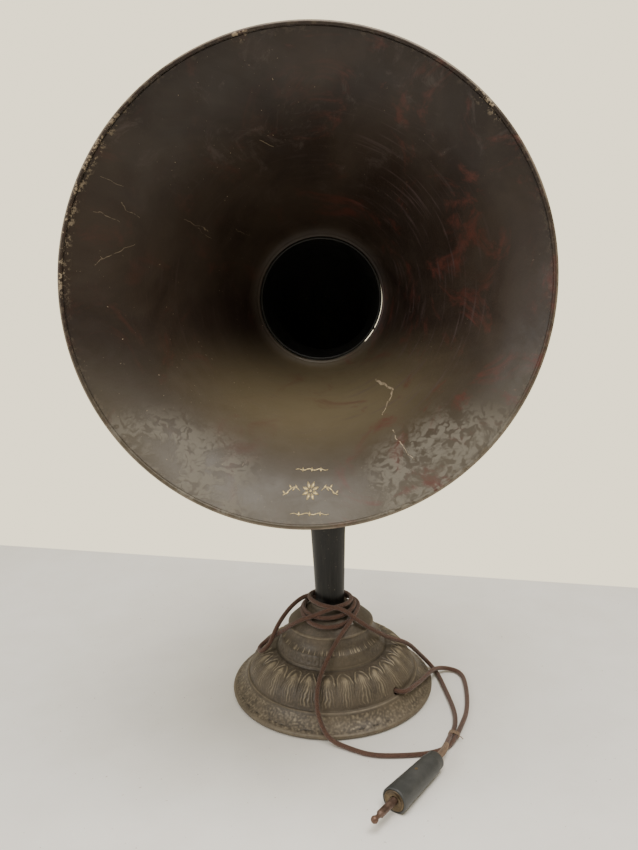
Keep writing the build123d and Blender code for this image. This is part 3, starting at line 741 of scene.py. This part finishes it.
def enamel_bell():
    m = Nodes("brown_enamel", coat=0.02)
    m.shader.inputs["Specular IOR Level"].default_value = 0.3
    split = m.node("ShaderNodeSeparateXYZ")
    m.join(m.place, split.inputs[0])
    x, y = split.outputs["X"], split.outputs["Y"]
    flat = m.vmath("MULTIPLY", m.place, (1, 1, 0))
    radius = m.vmath("LENGTH", flat, (0, 0, 0))
    cloud = m.noise(9, 5, 0.6, distortion=0.8)
    mid = m.noise(38, 6, 0.68, distortion=0.5)
    fine = m.noise(300, 4, 0.6)
    low = m.ramp(y, -0.02, -0.12)
    color = m.mix(m.ramp(cloud, 0.35, 0.68), (0.019, 0.012, 0.009), (0.036, 0.025, 0.018))
    # Painted light: the lower inside of the bell, where light falls on it, is painted lighter and olive. It
    # is strongest towards the throat, with a smaller lift again towards the rim.
    color = m.mix(m.math("MULTIPLY", low, m.ramp(radius, 0.17, 0.06)), color, (0.19, 0.152, 0.088))
    color = m.mix(m.math("MULTIPLY", low, m.ramp(radius, 0.12, 0.18, 0.0, 0.8)), color, (0.082, 0.067, 0.045))
    # reddish undercoat showing through
    undercoat = m.noise(16, 5, 0.7, distortion=1.2)
    red = m.math("MULTIPLY", m.ramp(undercoat, 0.52, 0.68), m.ramp(x, -0.05, 0.06, 0.25, 0.75))
    color = m.mix(red, color, (0.085, 0.027, 0.02))
    # spun streaks that follow the turning of the sheet
    turn = m.node("ShaderNodeCombineXYZ")
    m.join(m.math("ARCTAN2", y, x), turn.inputs["X"])
    m.join(m.math("MULTIPLY", radius, 260.0), turn.inputs["Y"])
    streak = m.noise(2.2, 3, 0.6, vector=turn.outputs[0])
    streak_on = m.math("MULTIPLY", m.ramp(streak, 0.54, 0.72), m.ramp(x, 0.0, 0.06, 0.15, 0.6))
    streak_on = m.math("MULTIPLY", streak_on, m.ramp(radius, 0.16, 0.11))
    color = m.mix(streak_on, color, (0.075, 0.052, 0.05))
    # grey bloom and blisters near the lower rim
    vor = m.node("ShaderNodeTexVoronoi", feature="SMOOTH_F1")
    vor.inputs["Scale"].default_value = 230
    warp = m.node("ShaderNodeMix", data_type="VECTOR")
    warp.inputs["Factor"].default_value = 0.025
    noise_color = m.node("ShaderNodeTexNoise")
    noise_color.inputs["Scale"].default_value = 70
    m.join(m.place, noise_color.inputs["Vector"])
    m.join(m.place, warp.inputs[4])
    m.join(noise_color.outputs["Color"], warp.inputs[5])
    m.join(warp.outputs[1], vor.inputs["Vector"])
    blister = m.math("MULTIPLY", m.ramp(vor.outputs["Distance"], 0.62, 0.38), m.ramp(mid, 0.42, 0.56))
    side = m.ramp(m.math("ABSOLUTE", x), 0.03, 0.065)
    lower_edge = m.math("MULTIPLY", m.ramp(radius, 0.128, 0.152), m.ramp(y, -0.085, -0.115))
    zone = m.math("MULTIPLY", lower_edge, side)
    bloom = m.math("MULTIPLY", blister, zone)
    color = m.mix(m.math("MULTIPLY", bloom, 0.7), color, (0.155, 0.139, 0.112))
    haze = m.noise(30, 6, 0.75, distortion=1.0)
    upper = m.math("MULTIPLY", m.ramp(haze, 0.53, 0.72), m.ramp(y, 0.06, 0.12, 0.0, 0.5))
    color = m.mix(upper, color, (0.085, 0.066, 0.06))
    # chips: bare sheet along the rim, a gouge and its crack, and fine specks
    rim = m.ramp(radius, 0.1755, 0.1815)
    chip_noise = m.noise(210, 5, 0.75)
    off_height = m.math("ABSOLUTE", m.math("SUBTRACT", y, 0.065))
    upper_left = m.math("MULTIPLY", m.ramp(x, -0.10, -0.15), m.ramp(off_height, 0.09, 0.05))
    upper_right = m.ramp(m.vmath("DISTANCE", flat, (0.138, 0.121, 0)), 0.02, 0.008)
    top = m.ramp(m.vmath("DISTANCE", flat, (-0.042, 0.178, 0)), 0.010, 0.003)
    where = m.math("MAXIMUM", m.math("MAXIMUM", upper_left, upper_right), m.math("MAXIMUM", top, 0.12))
    chips = m.math("MULTIPLY", m.math("MULTIPLY", rim, where), m.ramp(chip_noise, 0.53, 0.58))
    dots, crowding = m.noise(520, 2, 0.5), m.noise(24, 3, 0.5)
    specks = m.math("MULTIPLY", m.ramp(dots, 0.735, 0.76), m.ramp(crowding, 0.45, 0.6))
    specks = m.math("MULTIPLY", specks, m.ramp(x, 0.05, -0.06, 0.3, 1.0))
    wobble = m.node("ShaderNodeVectorMath", operation="MULTIPLY_ADD")
    m.join(noise_color.outputs["Color"], wobble.inputs[0])
    wobble.inputs[1].default_value = (0.009, 0.009, 0)
    m.join(m.vmath("SUBTRACT", flat, (0.0045, 0.0045, 0)), wobble.inputs[2])
    line = wobble.outputs[0]
    marks = segment(m, (53, -76), (66, -84), 1.5, line)
    for a, b, w in (((65, -86), (61, -94), 0.7), ((61, -94), (59, -104), 0.6),
                    ((66, -114), (74, -126), 0.5), ((74, -126), (81, -134), 0.5),
                    ((-161, 20), (-137, 37), 0.28), ((-140, 66), (-131, 58), 0.25),
                    ((-104, 60), (-88, 55), 0.28), ((-96, 55), (-86, 50), 0.25),
                    ((-150, 84), (-138, 79), 0.28), ((-158, 60), (-144, 52), 0.25),
                    ((-70, 58), (-62, 56), 0.25), ((-36, 119), (-28, 116), 0.35)):
        marks = m.math("MAXIMUM", marks, segment(m, a, b, w, line))
    marks = m.math("MULTIPLY", marks, m.ramp(m.noise(260, 3, 0.7), 0.36, 0.5))
    marks = m.math("MULTIPLY", marks, m.ramp(x, -0.05, 0.0, 0.4, 1.0))
    bare = m.math("MAXIMUM", m.math("MAXIMUM", chips, specks), marks)
    color = m.mix(m.math("MULTIPLY", bare, 0.8), color, (0.34, 0.27, 0.185))
    edge_wear = m.math("MULTIPLY", m.ramp(radius, 0.1818, 0.1832), m.ramp(mid, 0.35, 0.6, 0.2, 0.9))
    color = m.mix(edge_wear, color, (0.2, 0.16, 0.12))
    height = m.math("ADD", m.math("MULTIPLY", mid, 0.5), m.math("MULTIPLY", fine, 0.25))
    height = m.math("ADD", height, m.math("MULTIPLY", bloom, 0.35))
    m.bump(m.math("SUBTRACT", height, m.math("MULTIPLY", bare, 0.5)), 0.28, 0.0008)
    rough = m.math("ADD", m.ramp(mid, 0.3, 0.7, 0.34, 0.5), m.math("MULTIPLY", bloom, 0.15))
    return m.finish(color, rough, 0.0)


def enamel_neck():
    m = Nodes("black_enamel", coat=0.02)
    m.shader.inputs["Specular IOR Level"].default_value = 0.28
    streak = m.noise(1.0, 5, 0.65, vector=m.scaled((420, 420, 26)))
    patch = m.noise(30, 5, 0.6)
    color = m.mix(m.ramp(streak, 0.42, 0.72), (0.006, 0.006, 0.006), (0.019, 0.018, 0.016))
    color = m.mix(m.ramp(patch, 0.5, 0.75, 0.0, 0.5), color, (0.021, 0.020, 0.017))
    specks = m.ramp(m.noise(600, 2, 0.5), 0.72, 0.75)
    color = m.mix(specks, color, (0.16, 0.13, 0.1))
    m.bump(m.math("ADD", streak, m.math("MULTIPLY", patch, 0.5)), 0.2, 0.0004)
    return m.finish(color, m.ramp(streak, 0.3, 0.75, 0.32, 0.5), 0.0)


def gilding():
    m = Nodes("worn_gilding")
    worn = m.noise(900, 4, 0.7)
    color = m.mix(m.ramp(worn, 0.4, 0.62), (0.62, 0.49, 0.25), (0.36, 0.28, 0.15))
    m.bump(worn, 0.2, 0.0002)
    return m.finish(color, m.ramp(worn, 0.3, 0.7, 0.32, 0.55), 0.45)


def braid(name, dark, light, scale=1.0):
    """Cotton braid: fine crossing threads with a dusty, worn top."""
    m = Nodes(name)
    threads = []
    for turn in (radians(38), radians(-38)):
        wave = m.node("ShaderNodeTexWave", wave_type="BANDS", bands_direction="X")
        wave.inputs["Scale"].default_value = 330 * scale
        wave.inputs["Distortion"].default_value = 1.5
        wave.inputs["Detail"].default_value = 2.0
        m.join(m.scaled((1, 1, 1), (turn, turn * 0.6, turn)), wave.inputs["Vector"])
        threads.append(wave.outputs["Fac"])
    weave = m.math("MAXIMUM", threads[0], threads[1])
    fuzz = m.noise(1800, 3, 0.7)
    patch = m.noise(45, 4, 0.6)
    color = m.mix(m.ramp(weave, 0.25, 0.95), dark, light)
    color = m.mix(m.ramp(patch, 0.45, 0.7, 0.0, 0.55), color, tuple(0.55 * c for c in light))
    color = m.mix(m.ramp(fuzz, 0.55, 0.8, 0.0, 0.35), color, (0.34, 0.2, 0.13))
    m.bump(m.math("ADD", weave, m.math("MULTIPLY", fuzz, 0.5)), 0.7, 0.0005)
    m.shader.inputs["Sheen Weight"].default_value = 0.25
    m.shader.inputs["Sheen Roughness"].default_value = 0.5
    return m.finish(color, 0.82, 0.0)


def hard_rubber():
    m = Nodes("grey_hard_rubber", coat=0.05)
    patch = m.noise(70, 5, 0.65)
    fine = m.noise(900, 4, 0.6)
    color = m.mix(m.ramp(patch, 0.35, 0.7), (0.034, 0.036, 0.037), (0.060, 0.061, 0.060))
    color = m.mix(m.ramp(fine, 0.6, 0.75, 0.0, 0.6), color, (0.13, 0.13, 0.125))
    scuff = m.ramp(m.noise(1.0, 4, 0.7, vector=m.scaled((900, 90, 300), (0, 0, 0.65))), 0.66, 0.72, 0.0, 0.5)
    color = m.mix(scuff, color, (0.16, 0.155, 0.15))
    m.bump(m.math("ADD", patch, fine), 0.18, 0.0004)
    return m.finish(color, m.ramp(patch, 0.3, 0.7, 0.42, 0.58), 0.0)


def metal(name, dark, light, spots, metallic=0.85, scale=1.0):
    m = Nodes(name)
    patch = m.noise(140 * scale, 5, 0.7)
    fine = m.noise(1100 * scale, 4, 0.65)
    color = m.mix(m.ramp(patch, 0.35, 0.66), dark, light)
    color = m.mix(m.ramp(fine, 0.56, 0.7, 0.0, 0.7), color, spots)
    m.bump(m.math("ADD", patch, fine), 0.25, 0.0003)
    return m.finish(color, m.ramp(patch, 0.3, 0.7, 0.36, 0.58), metallic)


def felt():
    m = Nodes("green_felt")
    fuzz = m.noise(2200, 5, 0.8)
    color = m.mix(m.ramp(fuzz, 0.35, 0.7), (0.012, 0.028, 0.016), (0.03, 0.055, 0.035))
    m.bump(fuzz, 0.8, 0.0006)
    m.shader.inputs["Sheen Weight"].default_value = 0.4
    return m.finish(color, 0.95, 0.0)


brown_braid = braid("brown_cotton_braid", (0.04, 0.016, 0.010), (0.125, 0.058, 0.038))
materials = {
    "bronzed_iron": bronze(), "brown_enamel": enamel_bell(), "black_enamel": enamel_neck(),
    "brown_braid": brown_braid, "string": braid("tan_string", (0.12, 0.07, 0.04), (0.33, 0.22, 0.14), 1.6),
    "hard_rubber": hard_rubber(), "felt": felt(),
    "brass": metal("tarnished_brass", (0.085, 0.062, 0.04), (0.2, 0.15, 0.09), (0.05, 0.035, 0.025), 0.7),
    "plain_steel": metal("dull_steel", (0.2, 0.19, 0.18), (0.38, 0.37, 0.35), (0.12, 0.085, 0.06)),
    "magnet_steel": metal("magnet_steel", (0.1, 0.1, 0.105), (0.2, 0.2, 0.205), (0.12, 0.08, 0.06)),
    "copper_wire": metal("wound_copper", (0.28, 0.1, 0.05), (0.5, 0.22, 0.12), (0.16, 0.07, 0.04)),
    "fibre": metal("fibre_board", (0.12, 0.06, 0.035), (0.2, 0.11, 0.06), (0.08, 0.04, 0.025), 0.0),
    "soft_rubber": metal("soft_rubber", (0.02, 0.02, 0.02), (0.035, 0.034, 0.033), (0.05, 0.05, 0.048), 0.0)}
gilt_material = gilding()


def pin_metal():
    """Browned shaft, and a ball end worn to a copper tone."""
    m = Nodes("browned_pin")
    patch = m.noise(140, 5, 0.7)
    fine = m.noise(1100, 4, 0.65)
    at_ball = m.ramp(m.vmath("DISTANCE", m.place, BALL_AT * MM), 0.0058, 0.0046)
    shaft = m.mix(m.ramp(patch, 0.35, 0.66), (0.085, 0.052, 0.04), (0.17, 0.11, 0.085))
    ball = m.mix(m.ramp(patch, 0.35, 0.66), (0.11, 0.062, 0.045), (0.19, 0.112, 0.08))
    color = m.mix(m.ramp(fine, 0.56, 0.7, 0.0, 0.7), m.mix(at_ball, shaft, ball), (0.055, 0.036, 0.03))
    m.bump(m.math("ADD", patch, fine), 0.25, 0.0003)
    return m.finish(color, m.ramp(patch, 0.3, 0.7, 0.36, 0.58), 0.6)


pin_material = pin_metal()


def dress(obj, material):
    obj.data.materials.clear()
    obj.data.materials.append(material)


slots = {row["node"]: row["material_slot"] for row in frame["record"]["subparts"]}
for node, obj in frame["nodes"].items():
    for slot in obj.material_slots:
        slot.material = materials[slots[node]]

# ---------------------------------------------------------------- what each piece is and what it rides on
dress(base, materials["bronzed_iron"])
dress(bell, materials["brown_enamel"])
dress(gilt, gilt_material)
dress(neck, materials["black_enamel"])
dress(cord, brown_braid)
dress(tie, materials["string"])
dress(fray, materials["string"])
dress(plug_shell, materials["hard_rubber"])
dress(plug_disc, materials["brass"])
dress(plug_pin, pin_material)

for piece, node, slot, body in (
        (base, "base_casting", "bronzed_iron", "base"), (bell, "bell", "brown_enamel", "horn"),
        (neck, "gooseneck", "black_enamel", "horn"), (plug_shell, "plug_shell", "hard_rubber", "base"),
        (plug_disc, "plug_disc", "brass", "base"),
        (tie, "cord_tie", "string", "base")):
    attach(piece, body)
    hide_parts(node)
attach(gilt, "horn")
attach(fray, "base")
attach(cord, "base")
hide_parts("cord_lead", "cord_coil", "cord_bight", "cord_tail")


# ---------------------------------------------------------------- table, background and light
def stage_material(name, low, high, scale, speck=None):
    m = Nodes(name)
    color = m.mix(m.ramp(m.noise(scale, 4, 0.6), 0.3, 0.7), low, high)
    if speck:
        color = m.mix(m.ramp(m.noise(260, 2, 0.5), 0.72, 0.76, 0.0, 0.6), color, speck)
    return m.finish(color, 0.6, 0.0)


def sheet_object(name, corners, material):
    mesh = bpy.data.meshes.new(name)
    mesh.from_pydata(corners, [], [(0, 1, 2, 3)])
    obj = link(name, mesh)
    dress(obj, material)
    return obj


table = stage_material("table_top", (0.90, 0.875, 0.835), (0.94, 0.92, 0.885), 14, (0.45, 0.36, 0.3))
sheet_object("table_top", [(-3, -3, 0), (3, -3, 0), (3, -0.17, 0), (-3, 0.78, 0)], table)


def area_light(name, place, target, size, power, color):
    data = bpy.data.lights.new(name, "AREA")
    data.shape = "RECTANGLE"
    data.size, data.size_y = size
    data.energy = power
    data.color = color
    place, target = Vector(place), Vector(target)
    turn = (target - place).to_track_quat("-Z", "Y").to_matrix().to_4x4()
    link(name, data, Matrix.Translation(place) @ turn)


area_light("ceiling", (0.2, -0.5, 1.9), (0.0, 0.1, 0.2), (1.6, 1.2), 48, (1.0, 0.97, 0.92))
area_light("window", (-1.5, -1.2, 1.2), (0, 0, 0.35), (1.0, 1.0), 12.5, (0.96, 0.98, 1.0))
world = bpy.data.worlds.new("room")
world.use_nodes = True
# The background stands for a cream wall. The camera sees it brighter than it lights the object.
LIT_STRENGTH, SEEN_STRENGTH = 0.52, 2.3
tree = world.node_tree
background = tree.nodes["Background"]
background.inputs["Color"].default_value = (0.82, 0.735, 0.53, 1)
seen = tree.nodes.new("ShaderNodeMapRange")
seen.inputs["To Min"].default_value, seen.inputs["To Max"].default_value = LIT_STRENGTH, SEEN_STRENGTH
path = tree.nodes.new("ShaderNodeLightPath")
tree.links.new(path.outputs["Is Camera Ray"], seen.inputs["Value"])
tree.links.new(seen.outputs["Result"], background.inputs["Strength"])
bpy.context.scene.world = world

bpy.context.view_layer.update()
